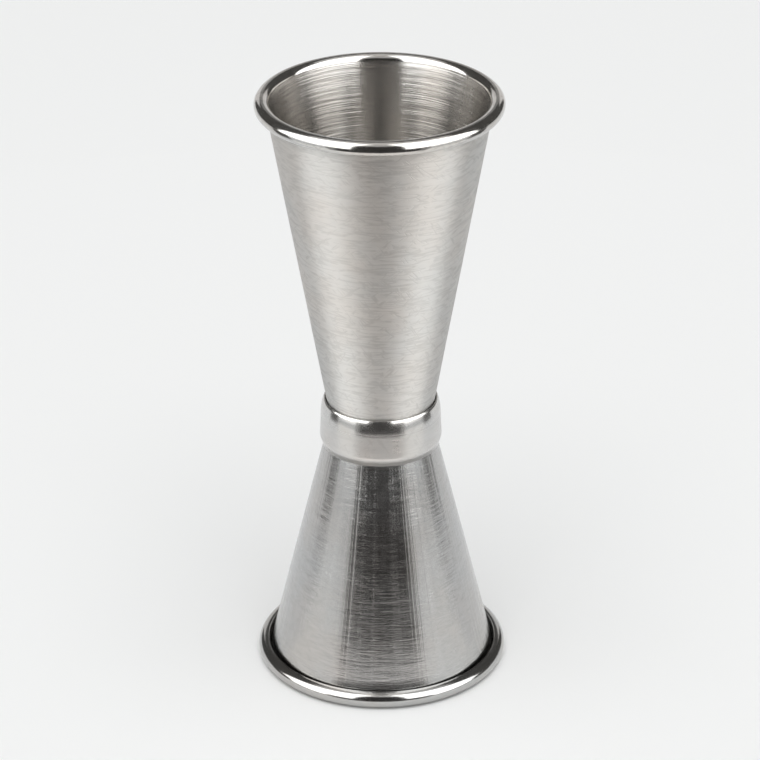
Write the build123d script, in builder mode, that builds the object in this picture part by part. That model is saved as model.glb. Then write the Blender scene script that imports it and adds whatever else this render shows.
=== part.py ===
"""A double-ended bar jigger, made in sheet steel.

Two spun conical cups stand base to base. Silver brazing filler joins their flat
bases, and a pressed collar hides the joint. The mouth of each cup ends in an
outward curl, a hollow bead that stops the sheet's raw edge just short of the wall.

Millimetres. +Z is the jigger's axis, and the larger cup is on top. The origin is
the centre of the ring that the jigger stands on.
"""

from build123d import *
import os
from math import acos, atan2, cos, degrees, hypot, sin, tan

# Driving dimensions
HEIGHT = 127.0  # from the lower rim to the upper rim
JOINT_Z = 55.7  # the plane where the two bases meet
UPPER_MOUTH = 50.2  # outside diameters over the curled rims
LOWER_MOUTH = 52.4
BASE = 21.0  # outside diameter of both cones where they meet their bases
SHEET = 0.9  # wall thickness of the cups

UPPER_BEAD = 3.1  # outside diameters of the curls' round section
LOWER_BEAD = 3.4
CURL_SWEEP = 276.0  # degrees that the sheet turns through in a curl
RAW_EDGE_ROUND = 0.2  # rounding of the sheet's raw edges
RIM_LAND = 0.03  # how far the crown of a rim is lapped flat
BASE_CORNER = 1.2  # inside radius between a cup's floor and its wall
BRAZE_GAP = 0.1  # filler between the two bases

COLLAR_SHEET = 0.45
COLLAR_FOOT_Z = 50.0  # lower edge, seated on the lower cone
COLLAR_BELLY_Z = 51.8  # where the band is widest
COLLAR_NECK_Z = 57.1  # where the shoulder starts
COLLAR_FOOT = 24.2  # outside diameters at those heights
COLLAR_BELLY = 25.36
COLLAR_NECK = 24.9
COLLAR_ROUND = 1.6  # outside radius where the band turns in to its foot
SHOULDER_ROUND = 10.0  # outside radii and turns, in degrees, of the shoulder and its lip
SHOULDER_TURN = 15.0
LIP_ROUND = 1.5
LIP_TURN = 28.0

# Each cup is drawn standing on its base, and its plane puts it in place
upper_plane = Plane((0, 0, JOINT_Z + BRAZE_GAP / 2), x_dir=(1, 0, 0), z_dir=(0, -1, 0))
lower_plane = Plane((0, 0, JOINT_Z - BRAZE_GAP / 2), x_dir=(1, 0, 0), z_dir=(0, 1, 0))
upper_size = (UPPER_MOUTH, HEIGHT - upper_plane.origin.Z, UPPER_BEAD)
lower_size = (LOWER_MOUTH, lower_plane.origin.Z, LOWER_BEAD)


def cup_curl(mouth, depth, bead):
    """Centre of the curl's round section, and the angle between wall and axis.

    The drink's side of the wall is tangent to the round section, and its outside
    runs down to the edge of the base.
    """
    centre = (mouth / 2 - bead / 2, depth + RIM_LAND - bead / 2)
    across = centre[0] - BASE / 2
    hollow = bead / 2 - SHEET
    taper = acos(hollow / hypot(across, centre[1])) - atan2(centre[1], across)
    return centre, taper


def wall_corners(mouth, depth, bead, inset):
    """Corners of the floor and wall, `inset` below the surface that holds the drink."""
    centre, taper = cup_curl(mouth, depth, bead)
    radius = bead / 2 - inset
    top = (centre[0] - radius * cos(taper), centre[1] + radius * sin(taper))
    floor = SHEET - inset
    return (0, floor), (top[0] - (top[1] - floor) * tan(taper), floor), top


def cup_section(mouth, depth, bead):
    """The sheet's section: floor, wall and curled rim."""
    centre, taper = cup_curl(mouth, depth, bead)
    start = 180 - degrees(taper)
    with BuildSketch() as section:
        with BuildLine():
            inside = FilletPolyline(*wall_corners(mouth, depth, bead, 0), radius=BASE_CORNER)
            outside = FilletPolyline(*wall_corners(mouth, depth, bead, SHEET), radius=BASE_CORNER + SHEET)
            crown = CenterArc(centre, bead / 2, start, -CURL_SWEEP)
            hollow = CenterArc(centre, bead / 2 - SHEET, start, -CURL_SWEEP)
            Line(inside @ 0, outside @ 0)
            raw_edge = Line(crown @ 1, hollow @ 1)
        make_face()
        fillet(section.vertices().sort_by_distance(raw_edge @ 0.5)[:2], RAW_EDGE_ROUND)
    return section.sketch


def cup_outline(mouth, depth, bead):
    """Everything inside the cup's outer surface, up to where the curl starts."""
    with BuildSketch() as outline:
        with BuildLine():
            wall = FilletPolyline(*wall_corners(mouth, depth, bead, SHEET), radius=BASE_CORNER + SHEET)
            Polyline(wall @ 1, (0, (wall @ 1).Y), wall @ 0)
        make_face()
    return outline.sketch


# Upper cup: the larger measure
with BuildPart() as upper_cup:
    with BuildSketch(upper_plane):
        add(cup_section(*upper_size))
    revolve(axis=Axis.Z)
    split(bisect_by=Plane.XY.offset(HEIGHT), keep=Keep.BOTTOM)

# Lower cup: the smaller measure, mouth down
with BuildPart() as lower_cup:
    with BuildSketch(lower_plane):
        add(cup_section(*lower_size))
    revolve(axis=Axis.Z)
    split(bisect_by=Plane.XY, keep=Keep.TOP)

# Brazing filler: a film between the bases, and the ring that fills the waist around them
with BuildPart() as base_braze:
    with BuildSketch(Plane.XY.offset(JOINT_Z)):
        Circle(BASE / 2)
    extrude(amount=BASE_CORNER + SHEET, both=True)
    with BuildSketch(upper_plane):
        add(cup_outline(*upper_size))
    revolve(axis=Axis.Z, mode=Mode.SUBTRACT)
    with BuildSketch(lower_plane):
        add(cup_outline(*lower_size))
    revolve(axis=Axis.Z, mode=Mode.SUBTRACT)

# Collar: a short band turned in at both edges. Its foot is dressed to the lower cone,
# and its lip stops just short of the upper one.
with BuildPart() as collar_band:
    with BuildSketch(Plane.XZ) as band_section:
        with BuildLine():
            band = FilletPolyline(
                (COLLAR_FOOT / 2, COLLAR_FOOT_Z),
                (COLLAR_BELLY / 2, COLLAR_BELLY_Z),
                (COLLAR_NECK / 2, COLLAR_NECK_Z),
                radius=COLLAR_ROUND,
            )
            shoulder = JernArc(band @ 1, band % 1, SHOULDER_ROUND, SHOULDER_TURN)
            JernArc(shoulder @ 1, shoulder % 1, LIP_ROUND, LIP_TURN)
            offset(amount=COLLAR_SHEET, side=Side.LEFT)
        make_face()
        fillet(band_section.vertices().sort_by(Axis.Y)[-2:], RAW_EDGE_ROUND)
    revolve(axis=Axis.Z)
    with BuildSketch(lower_plane):
        add(cup_outline(*lower_size))
    revolve(axis=Axis.Z, mode=Mode.SUBTRACT)

os.makedirs("parts", exist_ok=True)
for name, piece in (
    ("upper_cup", upper_cup),
    ("lower_cup", lower_cup),
    ("base_braze", base_braze),
    ("collar_band", collar_band),
):
    piece.part.label = name
    export_step(piece.part, f"parts/{name}.step")
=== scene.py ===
"""The looks of the double-ended bar jigger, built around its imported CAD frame.

Metres. +Z is the jigger's axis, the floor is at z = 0, and the camera looks along +Y.
Each piece is turned from the section of the metal it is made of, in the place that
the frame gives it.
"""

import math

import bpy
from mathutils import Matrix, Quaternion, Vector, noise


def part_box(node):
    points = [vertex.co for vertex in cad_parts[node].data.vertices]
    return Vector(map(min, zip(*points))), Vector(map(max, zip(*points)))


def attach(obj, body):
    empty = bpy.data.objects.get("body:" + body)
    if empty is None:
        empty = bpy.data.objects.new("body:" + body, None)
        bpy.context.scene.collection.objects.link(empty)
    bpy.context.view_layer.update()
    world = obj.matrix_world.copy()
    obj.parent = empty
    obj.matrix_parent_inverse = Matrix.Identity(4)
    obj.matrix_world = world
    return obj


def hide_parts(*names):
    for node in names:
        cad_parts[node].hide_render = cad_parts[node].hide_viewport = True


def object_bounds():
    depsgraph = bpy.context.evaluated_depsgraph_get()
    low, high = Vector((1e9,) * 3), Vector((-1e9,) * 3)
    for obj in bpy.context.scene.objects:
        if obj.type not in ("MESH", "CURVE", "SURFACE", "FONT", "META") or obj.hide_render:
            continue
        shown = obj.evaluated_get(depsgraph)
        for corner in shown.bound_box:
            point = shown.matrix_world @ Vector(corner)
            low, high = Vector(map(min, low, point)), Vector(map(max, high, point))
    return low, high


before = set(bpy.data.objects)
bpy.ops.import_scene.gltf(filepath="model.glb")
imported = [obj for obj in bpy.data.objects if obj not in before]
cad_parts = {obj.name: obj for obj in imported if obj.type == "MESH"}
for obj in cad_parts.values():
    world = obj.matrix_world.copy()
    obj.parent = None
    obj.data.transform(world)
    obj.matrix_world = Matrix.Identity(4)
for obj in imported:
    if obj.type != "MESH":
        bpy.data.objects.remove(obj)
cad_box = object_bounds()

MM = 0.001
CLEARANCE = 0.004 * MM  # how far the looks stay inside the frame's box
SEGMENTS = 320  # round the axis
ON_AXIS = 1e-9  # a smaller radius than this is the axis itself

# Sheet metal, as it is in the frame but for slightly rounder raw edges
SHEET = 0.9 * MM
UPPER_BEAD = 3.1 * MM
LOWER_BEAD = 3.4 * MM
CURL_SWEEP = math.radians(276)
RAW_EDGE_ROUND = 0.22 * MM
RIM_LAND = 0.03 * MM
BASE_CORNER = 1.2 * MM
BASE_RADIUS = 10.5 * MM
COLLAR_SHEET = 0.45 * MM
COLLAR_EDGE_ROUND = 0.45 * COLLAR_SHEET
COLLAR_FOOT = 12.1 * MM  # outside radii of the collar
COLLAR_NECK = 12.45 * MM
BELLY_RISE = 1.8 * MM  # heights above the collar's foot
NECK_RISE = 7.1 * MM
COLLAR_ROUND = 1.6 * MM
SHOULDER_ROUND = 10.0 * MM
SHOULDER_TURN = math.radians(15)
LIP_ROUND = 1.5 * MM
LIP_TURN = math.radians(28)

# Filler, which the frame has straight at its waist and touching both bases
MENISCUS = 0.25 * MM  # how far it sinks in round the waist
FILLER_PLAY = 0.004 * MM  # gap between its faces and the bases

# Points along the sections
BASE_STEPS = 10
CORNER_STEPS = 10
WALL_STEPS = 60
CROWN_STEPS = 80
HOLLOW_STEPS = 40
EDGE_STEPS = 5
BELLY_STEPS = 12
BAND_STEPS = 10
SHOULDER_STEPS = 16
LIP_STEPS = 10

# Hand finishing
POLISHED_REACH = 1.2 * MM  # how far a rim's polish runs down the outside of the wall
WALL_WOBBLE = 0.03 * MM  # how far the walls depart from true cones
WOBBLE_RISE = 25 * MM  # climb over which the wobble changes as much as in a radian round
WOBBLE_FINENESS = 1.4

# Colour of the steel: casts on its tint, painted shade on the drink's side, and the tone that wear
# brings it to
WARM_CAST = (1.01, 0.985, 0.965)
COOL_CAST = (0.985, 0.995, 1.0)
# Painted shade: the drink's side is darkened in colour, standing in for the shade inside the cups
PAINTED_INSIDE_SHADE = (0.66, 0.65, 0.64)
PAINTED_INSIDE_SHADE_SHARE = 0.5  # how far the drink's side takes its painted shade
WORN_COLOUR = (0.20, 0.19, 0.18)
WORN_SHARE = 0.5  # how much of it there is in a worn tone
SCRATCH_TONE = 0.38  # how far scratches go towards the worn colour
BRUSH_TONE = 0.16  # and the brush marks

# Roughness and relief of the steel
CLOUD_ROUGHNESS = 0.05
SCRATCH_DULLNESS = 0.3  # how much a scratch roughens it, beside a brush mark
RELIEF_DEPTH = 0.025 * MM  # of marks with a height of 1
BROAD_RELIEF = 1.2  # depth of the broad brush marks, beside the fine ones
TURNING_RELIEF = 3.0  # depth of the turning lines on the drink's side
POLISHED_RELIEF = 0.06  # what polishing leaves of the marks
ACROSS_THE_BRUSHING = 0.25  # of a turn, so that reflections stretch across the brush marks

# Studio: azimuths in degrees, from 0 on the camera's side
GAP = (-25, 22)  # between the softboxes
TABLE = (-39, 36)  # the dark table in front
NEAR_FLOOR = (-42, 39)  # the floor between the jigger and the table
FRONT = (-86, 86)
BACK = (154, 206)
CARD_STEPS = 24
VAULT_STEPS = 12
FLOOR_REACH = 6.0  # from the jigger to the floor's sides
FLOOR_TILES = 12

# Camera
ELEVATION = math.radians(26.5)
ROLL = math.radians(-0.23)
DISTANCE = 5.858  # heights of the jigger, from the place that it looks at
AIM = (-0.13 * MM, 0.5027)  # that place's x, and its height in heights of the jigger
LENS = 170.5  # millimetres, as the sensor's width is
SENSOR = 36.0


def place(name):
    """Lowest z, highest z and largest radius of a CAD node."""
    low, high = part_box(name)
    return low.z, high.z, high.x - CLEARANCE


# ------------------------------------------------------------------ sections

def arc(centre, radius, start, sweep, steps):
    """Points on an arc, with angles in radians."""
    points = []
    for i in range(steps + 1):
        angle = start + sweep * i / steps
        points.append((centre[0] + radius * math.cos(angle), centre[1] + radius * math.sin(angle)))
    return points


def run(start, end, steps):
    """Points along a straight run, without its two ends."""
    points = []
    for i in range(1, steps):
        t = i / steps
        points.append((start[0] + (end[0] - start[0]) * t, start[1] + (end[1] - start[1]) * t))
    return points


def corner(before, at, after, radius, steps):
    """The arc that rounds a corner between two straight runs."""
    at = Vector(at)
    back = (Vector(before) - at).normalized()
    ahead = (Vector(after) - at).normalized()
    half = back.angle(ahead) / 2
    centre = at + (back + ahead).normalized() * radius / math.sin(half)
    first = at + back * radius / math.tan(half) - centre
    last = at + ahead * radius / math.tan(half) - centre
    start = math.atan2(first.y, first.x)
    sweep = (math.atan2(last.y, last.x) - start + math.pi) % (2 * math.pi) - math.pi
    return arc(centre, radius, start, sweep, steps)


def tangent_arc(start, heading, radius, turn, steps):
    """Points after `start` on an arc that turns left from a heading."""
    centre = (start[0] - radius * math.sin(heading), start[1] + radius * math.cos(heading))
    return arc(centre, radius, heading - math.pi / 2, turn, steps)[1:]


def beside(points, distance):
    """The same line, moved to its left by a distance."""
    moved = []
    for i, point in enumerate(points):
        along = Vector(points[min(i + 1, len(points) - 1)]) - Vector(points[max(i - 1, 0)])
        along.normalize()
        moved.append((point[0] - along.y * distance, point[1] + along.x * distance))
    return moved


class CupSection:
    """The section of a cup that stands on its base at zero height."""

    def __init__(self, mouth, depth, bead):
        self.curl = bead / 2
        self.depth = depth
        self.centre = (mouth - self.curl, depth + RIM_LAND - self.curl)
        across = self.centre[0] - BASE_RADIUS
        hollow = self.curl - SHEET
        reach = math.hypot(across, self.centre[1])
        self.taper = math.acos(hollow / reach) - math.atan2(self.centre[1], across)

    def side(self, inset):
        """Floor's centre, base corner and wall's top, `inset` below the drink's side."""
        radius = self.curl - inset
        top = (
            self.centre[0] - radius * math.cos(self.taper),
            self.centre[1] + radius * math.sin(self.taper),
        )
        floor = SHEET - inset
        return (0, floor), (top[0] - (top[1] - floor) * math.tan(self.taper), floor), top

    def wall(self, inset):
        """The floor and the wall, from the axis up to the curl."""
        middle, base_corner, top = self.side(inset)
        bend = corner(middle, base_corner, top, BASE_CORNER + inset, CORNER_STEPS)
        floor = [middle] + run(middle, bend[0], BASE_STEPS)
        return floor + bend + run(bend[-1], top, WALL_STEPS) + [top]

    def curled(self, inset, steps):
        """One side of the curl, short of the raw edge by its rounding."""
        radius = self.curl - inset
        sweep = CURL_SWEEP - RAW_EDGE_ROUND / radius
        points = arc(self.centre, radius, math.pi - self.taper, -sweep, steps)[1:]
        return [(r, min(z, self.depth)) for r, z in points]

    def raw_edge(self):
        """The rounded edge of the sheet, from the curl's outside to its hollow."""
        end = math.pi - self.taper - CURL_SWEEP
        along = Vector((math.cos(end), math.sin(end)))
        back = Vector((-along.y, along.x))
        outer = Vector(self.centre) + self.curl * along
        inner = Vector(self.centre) + (self.curl - SHEET) * along
        first = corner(outer + back, outer, inner, RAW_EDGE_ROUND, EDGE_STEPS)
        return first + corner(outer, inner, inner + back, RAW_EDGE_ROUND, EDGE_STEPS)

    def outline(self):
        """(radius, height, polish, inside) from the floor, round the curl, to the base."""
        inside = self.wall(0)
        outside = self.wall(SHEET)[::-1]
        rim = self.curled(0, CROWN_STEPS) + self.raw_edge() + self.curled(SHEET, HOLLOW_STEPS)[::-1]
        section = [(r, z, 0.0, 1.0) for r, z in inside]
        section += [(r, z, 1.0, 0.0) for r, z in rim]
        return section + [(r, z, self.polish(z), 0.0) for r, z in outside]

    def polish(self, z):
        """1 beside the curl, falling to 0 on the wall below it."""
        below = (self.depth - 2 * self.curl - z) / POLISHED_REACH
        return min(1.0, max(0.0, 1.0 - below))


def wobble(angle, z):
    """How far a hand-finished wall departs from a true cone at that place."""
    round_about = Vector((math.cos(angle), math.sin(angle), z / WOBBLE_RISE))
    return WALL_WOBBLE * noise.noise(round_about * WOBBLE_FINENESS)


def turned(name, section, material, flip=None, wavy=False):
    """A piece turned round the axis from its (radius, height, polish, inside) section.

    A section that starts off the axis is closed from its last point to its first.
    flip is the height of the plane that a cup's base hangs from when its mouth is down.
    wavy gives the unpolished part the wobble of a hand-finished wall.
    """
    verts = []
    polish = []
    within = []
    rings = []
    for r, z, shine, inside in section:
        count = 1 if r < ON_AXIS else SEGMENTS
        rings.append((len(verts), count))
        for i in range(count):
            angle = 2 * math.pi * i / SEGMENTS
            out = r
            if wavy and count > 1:
                out = r - (1 - shine) * abs(wobble(angle, z))
            height = z if flip is None else flip - z
            verts.append((out * math.cos(angle), out * math.sin(angle), height))
            polish.append(shine)
            within.append(inside)
    faces = []
    pairs = list(zip(rings, rings[1:]))
    if section[0][0] > ON_AXIS:
        pairs.append((rings[-1], rings[0]))
    for (a, a_count), (b, b_count) in pairs:
        for i in range(SEGMENTS):
            j = (i + 1) % SEGMENTS
            if a_count == 1:
                face = (a, b + j, b + i)
            elif b_count == 1:
                face = (a + i, a + j, b)
            else:
                face = (a + i, a + j, b + j, b + i)
            faces.append(face if flip is None else face[::-1])
    mesh = bpy.data.meshes.new(name)
    mesh.from_pydata(verts, [], faces)
    mesh.attributes.new("polish", "FLOAT", "POINT").data.foreach_set("value", polish)
    mesh.attributes.new("inside", "FLOAT", "POINT").data.foreach_set("value", within)
    mesh.shade_smooth()
    mesh.materials.append(material)
    piece = bpy.data.objects.new(name, mesh)
    bpy.context.collection.objects.link(piece)
    return piece


# ----------------------------------------------------------------- materials

class Nodes:
    """Short names for making and linking shader nodes."""

    def __init__(self, tree):
        self.tree = tree
        tree.nodes.clear()

    def new(self, kind, **settings):
        """A new node with some of its properties set."""
        node = self.tree.nodes.new(kind)
        for key, value in settings.items():
            setattr(node, key, value)
        return node

    def link(self, source, target):
        self.tree.links.new(source, target)

    def put(self, value, socket):
        """Give an input a number, a colour or what another node puts out."""
        if isinstance(value, bpy.types.NodeSocket):
            self.link(value, socket)
        else:
            socket.default_value = value

    def math(self, operation, *values, clamp=False):
        node = self.new("ShaderNodeMath", operation=operation, use_clamp=clamp)
        for value, socket in zip(values, node.inputs):
            self.put(value, socket)
        return node.outputs[0]

    def add(self, *values):
        """The sum of the values in (value, weight) pairs, each times its weight."""
        total = 0.0
        for value, weight in values:
            total = self.math("MULTIPLY_ADD", value, weight, total)
        return total

    def ramp(self, value, low, high, to_low=0.0, to_high=1.0):
        """A smooth step from to_low to to_high as the value goes from low to high."""
        node = self.new("ShaderNodeMapRange", interpolation_type="SMOOTHSTEP")
        for source, socket in zip((value, low, high, to_low, to_high), node.inputs):
            self.put(source, socket)
        return node.outputs[0]

    def mix(self, factor, a, b):
        """The colour that far from a to b."""
        node = self.new("ShaderNodeMix", data_type="RGBA")
        for value, name in ((factor, "Factor_Float"), (a, "A_Color"), (b, "B_Color")):
            socket = next(s for s in node.inputs if s.identifier == name)
            self.put(value, socket)
        return next(s for s in node.outputs if s.identifier == "Result_Color")

    def noise(self, vector, scale=1.0, detail=2.0, roughness=0.5):
        node = self.new("ShaderNodeTexNoise", noise_dimensions="3D")
        self.link(vector, node.inputs["Vector"])
        node.inputs["Scale"].default_value = scale
        node.inputs["Detail"].default_value = detail
        node.inputs["Roughness"].default_value = roughness
        return node.outputs["Fac"]

    def attribute(self, name):
        """A number that the mesh keeps at its points."""
        return self.new("ShaderNodeAttribute", attribute_name=name).outputs["Fac"]

    def stretch(self, vector, across, along, shift=(0, 0, 0)):
        """The place scaled by `across` in x and y, by `along` in z, then shifted."""
        node = self.new("ShaderNodeMapping", vector_type="POINT")
        self.link(vector, node.inputs["Vector"])
        node.inputs["Scale"].default_value = (across, across, along)
        node.inputs["Location"].default_value = shift
        return node.outputs[0]

    def twist(self, vector, turns):
        """The place turned round the axis by `turns` radians for each millimetre of height."""
        parts = self.new("ShaderNodeSeparateXYZ")
        self.link(vector, parts.inputs[0])
        node = self.new("ShaderNodeVectorRotate", rotation_type="Z_AXIS")
        self.link(vector, node.inputs["Vector"])
        self.link(self.math("MULTIPLY", parts.outputs["Z"], turns), node.inputs["Angle"])
        return node.outputs[0]

    def bearing(self, vector):
        """The direction of a place from the axis, whatever its height."""
        flat = self.new("ShaderNodeVectorMath", operation="MULTIPLY")
        self.link(vector, flat.inputs[0])
        flat.inputs[1].default_value = (1, 1, 0)
        unit = self.new("ShaderNodeVectorMath", operation="NORMALIZE")
        self.link(flat.outputs[0], unit.inputs[0])
        return unit.outputs[0]


def opaque(colour):
    """A colour with full alpha, as colour sockets take it."""
    return tuple(colour) + (1,)


def cast_on(tint, cast):
    """A tint under a cast, channel by channel."""
    return opaque(t * c for t, c in zip(tint, cast))


def place_in_mm(n):
    """The place on a piece, in millimetres."""
    scale = n.new("ShaderNodeVectorMath", operation="SCALE")
    n.link(n.new("ShaderNodeTexCoord").outputs["Object"], scale.inputs[0])
    scale.inputs["Scale"].default_value = 1 / MM
    return scale.outputs[0]


def hairlines(n, mm, lean, across, along, width, cover, seed):
    """Thin wandering lines, from 0 to 1, broken up in patches.

    lean is how far they twist round the axis, in radians for each millimetre of height.
    across and along are how closely they are set, across and along the axis, and a
    greater width makes them broader. cover is how much of the surface has them.
    """
    twisted = n.twist(mm, lean)
    field = n.noise(n.stretch(twisted, across, along, shift=seed), detail=1.0)
    off_line = n.math("ABSOLUTE", n.math("SUBTRACT", field, 0.5))
    lines = n.ramp(off_line, 0.0, width, to_low=1.0, to_high=0.0)
    patches = n.noise(n.stretch(twisted, across=0.45, along=0.45, shift=seed[::-1]), detail=2.0)
    return n.math("MULTIPLY", lines, n.ramp(patches, 0.95 - cover, 1.05 - cover))


def scratch_lines(n, mm, ripples, pitch):
    """Level scratches, with two sets of steep ones that cross."""
    level = hairlines(
        n, mm, lean=0.02, across=0.13 * pitch, along=1.15 * pitch,
        width=0.085, cover=0.60, seed=(1, 5, 2),
    )
    leaning = hairlines(
        n, mm, lean=0.05, across=0.75 * pitch, along=0.12,
        width=0.060, cover=0.44, seed=(8, 2, 6),
    )
    crossing = hairlines(
        n, mm, lean=-0.07, across=0.65 * pitch, along=0.16,
        width=0.060, cover=0.42, seed=(3, 7, 9),
    )
    steep = n.math("MAXIMUM", leaning, crossing)
    return n.math("MAXIMUM", n.math("MULTIPLY", level, ripples), steep)


class SteelSurface:
    """What the colour, roughness and relief of a steel share, as fields over its surface."""

    def __init__(self, n, grain, ripples, scratches, pitch):
        mm = place_in_mm(n)
        self.shine = n.attribute("polish")
        self.within = n.attribute("inside")
        self.unpolished = n.math("SUBTRACT", 1.0, self.shine)
        self.fine = n.noise(n.stretch(n.twist(mm, 0.006), *grain), detail=3.0, roughness=0.6)
        turning = n.stretch(mm, across=0.025, along=2.0, shift=(5, 1, 8))
        self.turning = n.noise(turning, detail=2.0, roughness=0.7)
        broad = n.stretch(n.twist(mm, -0.004), across=0.06, along=0.7, shift=(7, 3, 1))
        self.broad = n.noise(broad, detail=2.0)
        cloud = n.stretch(mm, across=0.07, along=0.05, shift=(2, 9, 4))
        self.cloud = n.ramp(n.noise(cloud, detail=3.0, roughness=0.6), 0.3, 0.7)
        streak = n.stretch(n.bearing(mm), across=9.0, along=0.0, shift=(4, 6, 0))
        self.streak = n.noise(streak, detail=4.0, roughness=0.75)
        outside = n.math("SUBTRACT", 1.0, self.within)
        lines = scratch_lines(n, mm, ripples, pitch)
        self.scratches = n.math("MULTIPLY", n.math("MULTIPLY", lines, outside), scratches)

    def colour(self, n, tint):
        """Faint warm and cool clouds, painted shade on the drink's side, and darker along the
        marks.
        """
        tone = n.mix(self.cloud, cast_on(tint, WARM_CAST), cast_on(tint, COOL_CAST))
        # Painted shade: the drink's side is mixed towards a darker cast, standing in for the shade
        # inside the cups
        painted_inside_shade = n.math("MULTIPLY", self.within, PAINTED_INSIDE_SHADE_SHARE)
        tone = n.mix(painted_inside_shade, tone, cast_on(tint, PAINTED_INSIDE_SHADE))
        worn = n.mix(WORN_SHARE, tone, opaque(WORN_COLOUR))
        tone = n.mix(n.math("MULTIPLY", self.scratches, SCRATCH_TONE), tone, worn)
        return n.mix(n.ramp(self.fine, 0.35, 0.75, to_high=BRUSH_TONE), tone, worn)

    def roughness(self, n, satin, polished, inside, dull):
        """About the satin roughness outside, with its marks, and an even one on the rims."""
        clean = satin - CLOUD_ROUGHNESS / 2 - dull
        rough = n.add(
            (self.cloud, CLOUD_ROUGHNESS),
            (self.fine, dull),
            (self.scratches, dull * SCRATCH_DULLNESS),
            (self.streak, dull),
            (clean, 1.0),
        )
        if inside is not None:
            rough = n.add((self.within, inside - satin), (rough, 1.0))
        return n.add((n.math("MULTIPLY", rough, self.unpolished), 1.0), (self.shine, polished))

    def relief(self, n, brush, streaks, depth):
        """Height of the tool marks, nearly polished away on the rims."""
        height = n.add(
            (self.fine, brush),
            (self.broad, brush * BROAD_RELIEF),
            (self.streak, streaks),
            (self.scratches, -depth),
        )
        turning = n.math("MULTIPLY", self.turning, self.within)
        height = n.add((height, 1.0), (turning, TURNING_RELIEF))
        kept = n.add((self.unpolished, 1 - POLISHED_RELIEF), (POLISHED_RELIEF, 1.0))
        return n.math("MULTIPLY", height, kept)


def steel(
    name,
    tint,
    satin,
    polished,
    anisotropy,
    inside=None,
    grain=(0.2, 1.9),
    brush=1.0,
    ripples=1.0,
    streaks=0.0,
    scratches=1.0,
    depth=0.45,
    pitch=1.0,
    dull=0.10,
):
    """Stainless steel brushed round the axis, with hairline scratches and polished rims.

    satin, polished and inside are the roughnesses of the outside, the rims and the
    drink's side. dull is how much of the outside's comes from its marks, and
    anisotropy is how far they stretch its reflections. grain is how many brush marks
    there are in a millimetre, across and along the axis, and brush is their depth.
    streaks is the depth of streaks that run up the wall. scratches is the strength of
    the scratches, ripples that of the level ones beside the steep ones, depth their
    depth, and pitch how closely they are set.
    """
    material = bpy.data.materials.new(name)
    material.use_nodes = True
    n = Nodes(material.node_tree)
    surface = SteelSurface(n, grain, ripples, scratches, pitch)
    bump = n.new("ShaderNodeBump")
    bump.inputs["Strength"].default_value = 1.0
    bump.inputs["Distance"].default_value = RELIEF_DEPTH
    n.link(surface.relief(n, brush, streaks, depth), bump.inputs["Height"])
    tangent = n.new("ShaderNodeTangent", direction_type="RADIAL", axis="Z")
    shader = n.new("ShaderNodeBsdfPrincipled")
    shader.inputs["Metallic"].default_value = 1.0
    shader.inputs["Anisotropic"].default_value = anisotropy
    shader.inputs["Anisotropic Rotation"].default_value = ACROSS_THE_BRUSHING
    n.link(surface.colour(n, tint), shader.inputs["Base Color"])
    n.link(surface.roughness(n, satin, polished, inside, dull), shader.inputs["Roughness"])
    n.link(tangent.outputs[0], shader.inputs["Tangent"])
    n.link(bump.outputs[0], shader.inputs["Normal"])
    out = n.new("ShaderNodeOutputMaterial")
    n.link(shader.outputs[0], out.inputs[0])
    return material


def plain(name, colour, roughness):
    """A diffuse surface for the stage, with a faint unevenness."""
    material = bpy.data.materials.new(name)
    material.use_nodes = True
    n = Nodes(material.node_tree)
    where = n.new("ShaderNodeTexCoord").outputs["Object"]
    uneven = n.noise(where, scale=3.0)
    shader = n.new("ShaderNodeBsdfPrincipled")
    darker = opaque(c * 0.985 for c in colour)
    n.link(n.mix(uneven, darker, opaque(colour)), shader.inputs["Base Color"])
    shader.inputs["Roughness"].default_value = roughness
    shader.inputs["Specular IOR Level"].default_value = 0.1
    out = n.new("ShaderNodeOutputMaterial")
    n.link(shader.outputs[0], out.inputs[0])
    return material


def glow(name, colour, strength):
    """Even light from a studio card."""
    material = bpy.data.materials.new(name)
    material.use_nodes = True
    n = Nodes(material.node_tree)
    shader = n.new("ShaderNodeEmission")
    shader.inputs["Color"].default_value = opaque(colour)
    shader.inputs["Strength"].default_value = strength
    out = n.new("ShaderNodeOutputMaterial")
    n.link(shader.outputs[0], out.inputs[0])
    return material


# -------------------------------------------------------------------- pieces

upper_steel = steel(
    "upper_cup_steel",
    tint=(0.665, 0.652, 0.632),
    satin=0.47,
    polished=0.15,
    anisotropy=0.8,
    inside=0.24,
    grain=(0.16, 1.3),
    brush=1.5,
    streaks=0.4,
    depth=0.8,
)
lower_steel = steel(
    "lower_cup_steel",
    tint=(0.525, 0.520, 0.512),
    satin=0.18,
    polished=0.15,
    anisotropy=0.45,
    inside=0.27,
    grain=(0.24, 2.5),
    brush=1.1,
    ripples=0.7,
    streaks=5.0,
    scratches=0.7,
    depth=0.14,
    pitch=1.5,
    dull=0.22,
)
collar_steel = steel(
    "collar_steel_satin",
    tint=(0.665, 0.652, 0.635),
    satin=0.29,
    polished=0.20,
    anisotropy=0.3,
    brush=0.6,
    ripples=0.4,
    scratches=0.6,
)
filler = steel(
    "braze_filler",
    tint=(0.76, 0.72, 0.62),
    satin=0.42,
    polished=0.3,
    anisotropy=0.0,
    scratches=0.0,
)


def make_upper_cup():
    """The larger cup, mouth up."""
    bottom, top, radius = place("upper_cup")
    section = CupSection(radius, top - bottom, UPPER_BEAD).outline()
    section = [(r, z + bottom, shine, inside) for r, z, shine, inside in section]
    return turned("upper_cup_spun", section, upper_steel, wavy=True)


def make_lower_cup():
    """The smaller cup, mouth down, drawn mouth up and turned over."""
    bottom, top, radius = place("lower_cup")
    section = CupSection(radius, top - bottom, LOWER_BEAD).outline()
    return turned("lower_cup_spun", section, lower_steel, flip=top, wavy=True)


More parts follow.
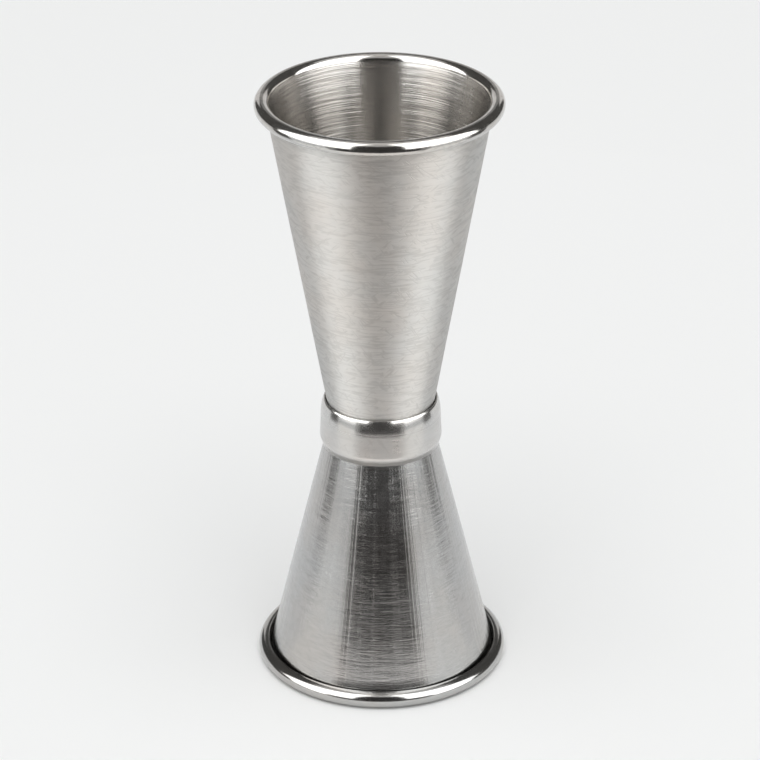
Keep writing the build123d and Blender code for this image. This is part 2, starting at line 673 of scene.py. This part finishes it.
def make_collar():
    """The band round the joint, turned in at its foot and at its lip."""
    bottom, top, radius = place("collar_band")
    foot = (COLLAR_FOOT, bottom)
    belly = (radius, bottom + BELLY_RISE)
    neck = (COLLAR_NECK, bottom + NECK_RISE)
    heading = math.atan2(neck[1] - belly[1], neck[0] - belly[0])
    outer = [foot] + corner(foot, belly, neck, COLLAR_ROUND, BELLY_STEPS)
    outer += run(outer[-1], neck, BAND_STEPS) + [neck]
    outer += tangent_arc(neck, heading, SHOULDER_ROUND, SHOULDER_TURN, SHOULDER_STEPS)
    outer += tangent_arc(outer[-1], heading + SHOULDER_TURN, LIP_ROUND, LIP_TURN, LIP_STEPS)
    inner = beside(outer, COLLAR_SHEET)
    edge = corner(outer[-2], outer[-1], inner[-1], COLLAR_EDGE_ROUND, EDGE_STEPS)
    edge += corner(outer[-1], inner[-1], inner[-2], COLLAR_EDGE_ROUND, EDGE_STEPS)
    turned_in = [z - bottom > NECK_RISE for r, z in outer]
    section = [(r, z, 1.0 if high else 0.0, 0.0) for (r, z), high in zip(outer[:-2], turned_in)]
    section += [(r, z, 1.0, 0.0) for r, z in edge]
    section += [(r, z, 0.0, 1.0) for r, z in inner[-3::-1]]
    return turned("collar_pressed", section, collar_steel)


def make_filler():
    """The filler between the bases and round the waist, where it sinks in a little."""
    bottom, top, waist = place("base_braze")
    reach = BASE_CORNER + SHEET
    sides = []
    for cup, bead, up in (("lower_cup", LOWER_BEAD, -1), ("upper_cup", UPPER_BEAD, 1)):
        low, high, mouth = place(cup)
        base = low if up > 0 else high
        wall = CupSection(mouth, high - low, bead).wall(SHEET)
        side = [(r, base + up * (z - FILLER_PLAY)) for r, z in wall if r < waist and z < reach]
        sides.append(side + [(waist, side[-1][1])])
    lower, upper = sides
    middle = (bottom + top) / 2
    section = lower + [(waist - MENISCUS, middle)] + upper[::-1]
    return turned("base_filler", [(r, z, 0.0, 0.0) for r, z in section], filler)


for node, make, slot in (
    ("upper_cup", make_upper_cup, "cup_steel"),
    ("lower_cup", make_lower_cup, "cup_steel"),
    ("collar_band", make_collar, "collar_steel"),
    ("base_braze", make_filler, "braze_filler"),
):
    piece = make()
    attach(piece, "root")
    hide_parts(node)


# -------------------------------------------------------------------- studio

def card(name, azimuths, profile, material):
    """A studio card swept round the object, which only the steel's reflections see.

    Azimuths are in degrees, from 0 on the camera's side, and grow to the right in
    front. The profile is (distance, height) points.
    """
    verts = []
    for i in range(CARD_STEPS + 1):
        azimuth = math.radians(azimuths[0] + (azimuths[1] - azimuths[0]) * i / CARD_STEPS)
        for distance, height in profile:
            verts.append((distance * math.sin(azimuth), -distance * math.cos(azimuth), height))
    rows = len(profile)
    faces = []
    for i in range(CARD_STEPS):
        for j in range(rows - 1):
            k = i * rows + j
            faces.append((k, k + rows, k + rows + 1, k + 1))
    mesh = bpy.data.meshes.new(name)
    mesh.from_pydata(verts, [], faces)
    mesh.materials.append(material)
    piece = bpy.data.objects.new(name, mesh)
    bpy.context.collection.objects.link(piece)
    piece.visible_camera = False
    piece.visible_diffuse = False
    piece.visible_shadow = False
    piece.visible_transmission = False


def vault(distance, low, high):
    """Profile of a card that curves overhead, between two elevations in degrees."""
    return arc((0, 0), distance, math.radians(low), math.radians(high - low), VAULT_STEPS)


def make_dark_cards():
    """What is dark in front: the gap between the softboxes and the table below it."""
    dark = glow("dark_card", (1.0, 0.98, 0.95), 0.035)
    fringe = glow("table_fringe", (1.0, 0.99, 0.97), 0.28)
    kerb = [(0.10, 0.0005), (0.10, 0.006)]
    table = [(0.15, 0.0004), (0.17, 0.010), (0.36, 0.115)]
    card("dark_gap", GAP, vault(0.36, 4, 62), dark)
    card("dark_kerb", (-40, 37), kerb, dark)
    card("dark_table", TABLE, table, dark)
    card("table_fringe_left", (-47, TABLE[0]), table, fringe)
    card("table_fringe_right", (TABLE[1], 44), table, fringe)


def make_floor_cards():
    """The floor as the steel mirrors it: warmest in front, and cooler round the back."""
    warm = glow("front_floor", (1.0, 0.965, 0.94), 1.06)
    neutral = glow("side_floor", (1.0, 1.0, 0.985), 0.93)
    cool = glow("back_floor", (0.975, 0.99, 1.0), 0.84)
    near = [(0.045, 0.0004), (0.15, 0.0004)]
    wide = [(0.04, 0.0004), (0.28, 0.0004)]
    card("front_floor", NEAR_FLOOR, near, warm)
    card("side_floor_left", (-84, NEAR_FLOOR[0]), wide, neutral)
    card("side_floor_right", (NEAR_FLOOR[1], 82), wide, neutral)
    card("back_floor", (84, 274), wide, cool)


def make_softboxes():
    """Two large softboxes and their frames, grey below them and with haze behind."""
    haze = glow("haze", (1.0, 1.0, 1.0), 0.90)
    soft = glow("softbox", (1.0, 1.0, 0.99), 2.9)
    grey = glow("grey_card", (0.94, 0.98, 1.0), 0.52)
    edge = glow("softbox_frame", (1.0, 0.97, 0.95), 0.10)
    horizon = [(0.28, 0.0003), (0.36, 0.045)]
    upright = [(0.22, 0.0003), (0.36, 0.11)]
    card("haze", FRONT, vault(1.8, 0, 14), haze)
    card("softbox_left", (-100, GAP[0]), vault(1.3, 6, 82), soft)
    card("softbox_right", (GAP[1], 96), vault(1.3, 6, 82), soft)
    card("grey_left", (-88, -43), horizon, grey)
    card("grey_right", (40, 86), horizon, grey)
    card("frame_left", (-106, -85), upright, edge)
    card("frame_right", (85, 106), upright, edge)


def make_cards():
    """The studio that the steel mirrors, from its front to its back."""
    ceiling = glow("ceiling", (1.0, 0.99, 0.97), 0.62)
    side = glow("side_card", (1.0, 0.98, 0.94), 0.08)
    wall = glow("back_wall", (1.0, 0.99, 0.98), 0.72)
    make_dark_cards()
    card("overhead", FRONT, vault(1.6, 83, 90), ceiling)
    card("overhead_front", GAP, vault(1.6, 62, 83), ceiling)
    make_floor_cards()
    make_softboxes()
    card("side_left", (-154, -100), vault(1.5, 3, 60), side)
    card("side_right", (96, BACK[0]), vault(1.5, 3, 60), side)
    card("back_wall", BACK, vault(1.5, 0, 26), wall)
    card("back_shade", BACK, vault(1.5, 26, 60), side)
    card("ceiling", (86, 274), vault(1.6, 60, 90), ceiling)


def make_floor():
    """The pale floor, which the camera sees on every side of the jigger."""
    row = FLOOR_TILES + 1
    places = [FLOOR_REACH * (2 * i / FLOOR_TILES - 1) for i in range(row)]
    verts = [(x, y, 0.0) for y in places for x in places]
    faces = []
    for j in range(FLOOR_TILES):
        for i in range(FLOOR_TILES):
            k = j * row + i
            faces.append((k, k + 1, k + row + 1, k + row))
    mesh = bpy.data.meshes.new("floor")
    mesh.from_pydata(verts, [], faces)
    mesh.materials.append(plain("pale_floor", (0.93, 0.935, 0.935), 0.8))
    floor = bpy.data.objects.new("floor", mesh)
    bpy.context.collection.objects.link(floor)


def make_world():
    """Even and nearly white light from all round."""
    world = bpy.data.worlds.new("studio")
    bpy.context.scene.world = world
    world.use_nodes = True
    n = Nodes(world.node_tree)
    back = n.new("ShaderNodeBackground")
    back.inputs["Color"].default_value = (0.995, 1.0, 0.998, 1)
    back.inputs["Strength"].default_value = 0.58
    out = n.new("ShaderNodeOutputWorld")
    n.link(back.outputs[0], out.inputs[0])


def make_light():
    """A large soft light above and in front, which the steel does not mirror."""
    data = bpy.data.lights.new("key_light", "AREA")
    data.size = 2.6
    data.energy = 43.5
    data.color = (1.0, 1.0, 0.995)
    light = bpy.data.objects.new("key_light", data)
    bpy.context.collection.objects.link(light)
    light.location = (0, -0.8, 2.85)
    light.rotation_mode = "QUATERNION"
    light.rotation_quaternion = (-light.location).to_track_quat("-Z", "Y")
    light.visible_camera = False
    light.visible_glossy = False


def make_camera():
    """A long lens in front, looking down into the upper cup's mouth."""
    height = cad_box[1].z
    target = Vector((AIM[0], 0, AIM[1] * height))
    back = Vector((0, -math.cos(ELEVATION), math.sin(ELEVATION)))
    data = bpy.data.cameras.new("camera")
    data.sensor_width = SENSOR
    data.lens = LENS
    camera = bpy.data.objects.new("camera", data)
    bpy.context.collection.objects.link(camera)
    camera.location = target + back * (DISTANCE * height)
    camera.rotation_mode = "QUATERNION"
    camera.rotation_quaternion = (-back).to_track_quat("-Z", "Y") @ Quaternion((0, 0, 1), ROLL)
    bpy.context.scene.camera = camera


make_floor()
make_world()
make_cards()
make_light()
make_camera()
bpy.context.scene.view_settings.view_transform = "Standard"
